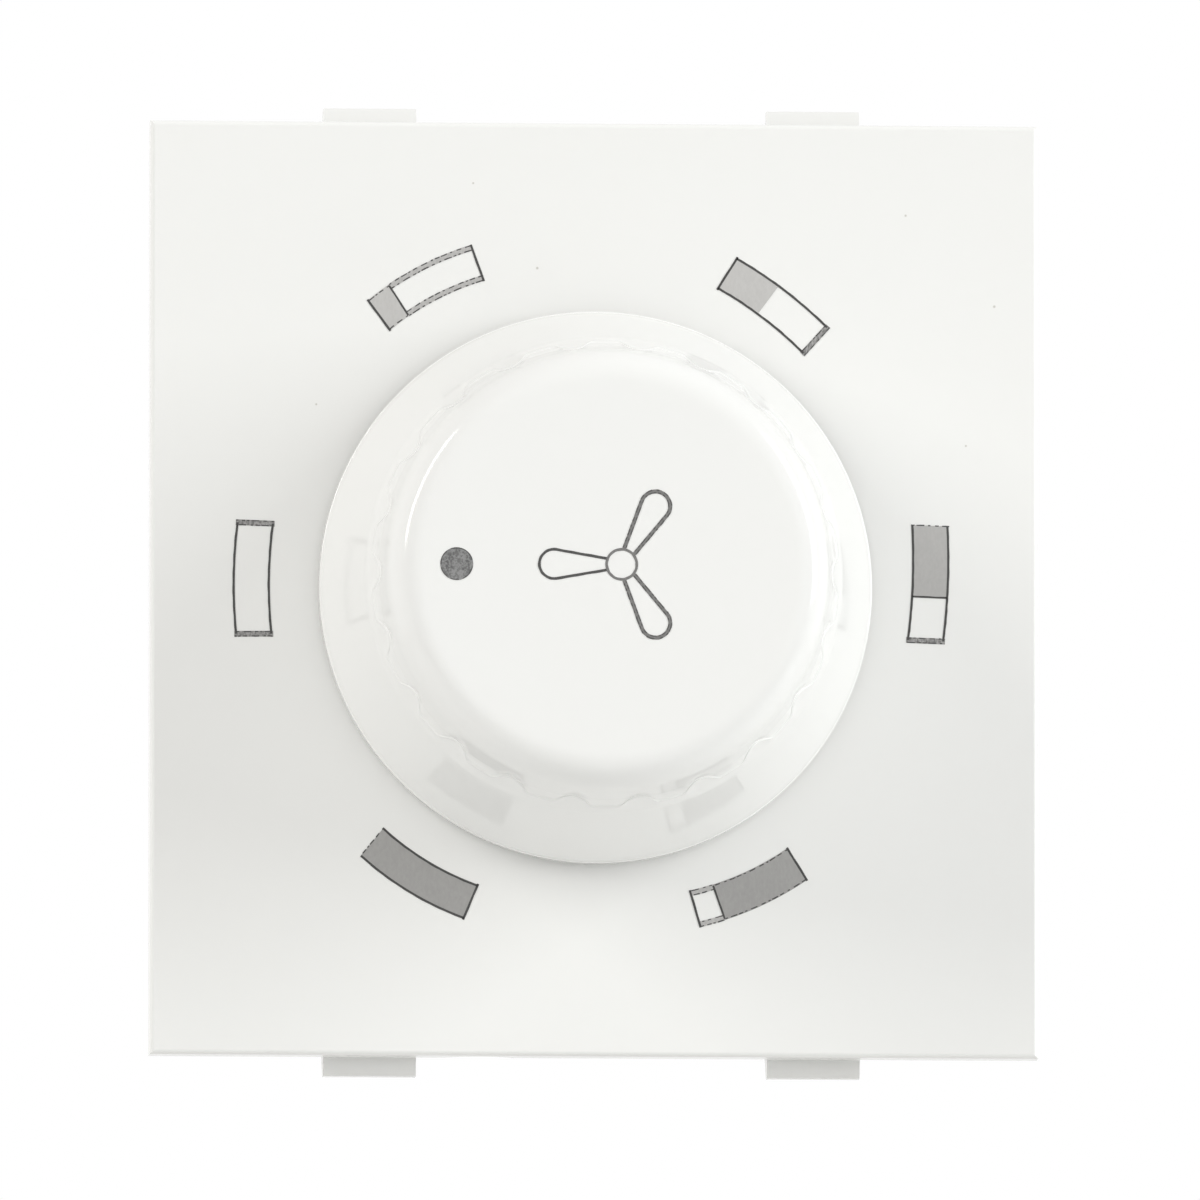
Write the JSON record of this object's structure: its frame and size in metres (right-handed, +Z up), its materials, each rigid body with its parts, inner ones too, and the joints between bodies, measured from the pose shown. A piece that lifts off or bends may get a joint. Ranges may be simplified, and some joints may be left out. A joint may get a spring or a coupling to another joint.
{
  "type": "fan speed control switch",
  "caption": "Square snap-in wall module with a round fluted knob that turns in detent steps to set a ceiling fan's speed, with printed gauge marks and rear screw terminals.",
  "frame": {"origin": "on the knob's axis, in the plane of the front plate's back face, where the module's latch arms begin", "axes": "+Z up as fitted in a wall, the front looks along -Y, +X to the right seen from the front"},
  "size_m": [0.045, 0.0445, 0.0492],
  "materials": {
    "white_plastic": "glossy",
    "housing_plastic": "satin",
    "black_plastic": "satin",
    "natural_nylon": "satin",
    "spring_steel": "bright",
    "zinc_steel": "zinc plated",
    "bronze": "satin",
    "brass": "satin",
    "board_laminate": "matte",
    "capacitor_case": "satin",
    "ceramic_body": "matte",
    "lacquered_body": "satin"
  },
  "bodies": {
    "root": {"front_plate": "white_plastic", "thrust_washer": "zinc_steel", "switch_cover": "black_plastic", "switch_base": "black_plastic", "detent_spring": "spring_steel", "common_contact": "brass", "switch_screws": "zinc_steel", "circuit_board": "board_laminate", "capacitor_1": "capacitor_case", "capacitor_2": "capacitor_case", "capacitor_3": "capacitor_case", "surge_resistor_1": "ceramic_body", "surge_resistor_2": "ceramic_body", "bleed_resistor_1": "lacquered_body", "bleed_resistor_2": "lacquered_body", "bleed_resistor_3": "lacquered_body", "rear_housing": "housing_plastic", "speed_contact_1": "brass", "speed_contact_2": "brass", "speed_contact_3": "brass", "speed_contact_4": "brass", "speed_contact_5": "brass", "terminal_left": "brass", "terminal_right": "brass"},
    "knob_body": {"knob": "white_plastic", "knob_clip": "spring_steel", "rotor": "natural_nylon", "wiper": "bronze"},
    "clamp_left": {"clamp_washer_left": "zinc_steel"},
    "screw_left": {"terminal_screw_left": "zinc_steel"},
    "clamp_right": {"clamp_washer_right": "zinc_steel"},
    "screw_right": {"terminal_screw_right": "zinc_steel"}
  },
  "joints": [
    {"name": "knob_turn", "type": "hinge", "parent": "root", "child": "knob_body", "pos_m": [0, 0, 0], "axis": [0, 1, 0], "range_deg": [0, 300], "deforming": ["detent_spring"]},
    {"name": "clamp_left_slide", "type": "slide", "parent": "root", "child": "clamp_left", "axis": [0, -1, 0], "range_m": [0, 0.0027]},
    {"name": "screw_left_turn", "type": "hinge", "parent": "clamp_left", "child": "screw_left", "pos_m": [-0.0113, 0.0268, -0.0138], "axis": [0, -1, 0], "range_deg": [0, 1620]},
    {"name": "clamp_right_slide", "type": "slide", "parent": "root", "child": "clamp_right", "axis": [0, -1, 0], "range_m": [0, 0.0027]},
    {"name": "screw_right_turn", "type": "hinge", "parent": "clamp_right", "child": "screw_right", "pos_m": [0.0113, 0.0268, -0.0138], "axis": [0, -1, 0], "range_deg": [0, 1620]}
  ],
  "couplings": [
    {"joint": "screw_left_turn", "follows": "clamp_left_slide", "rad_per_m": 10472},
    {"joint": "screw_right_turn", "follows": "clamp_right_slide", "rad_per_m": 10472}
  ]
}
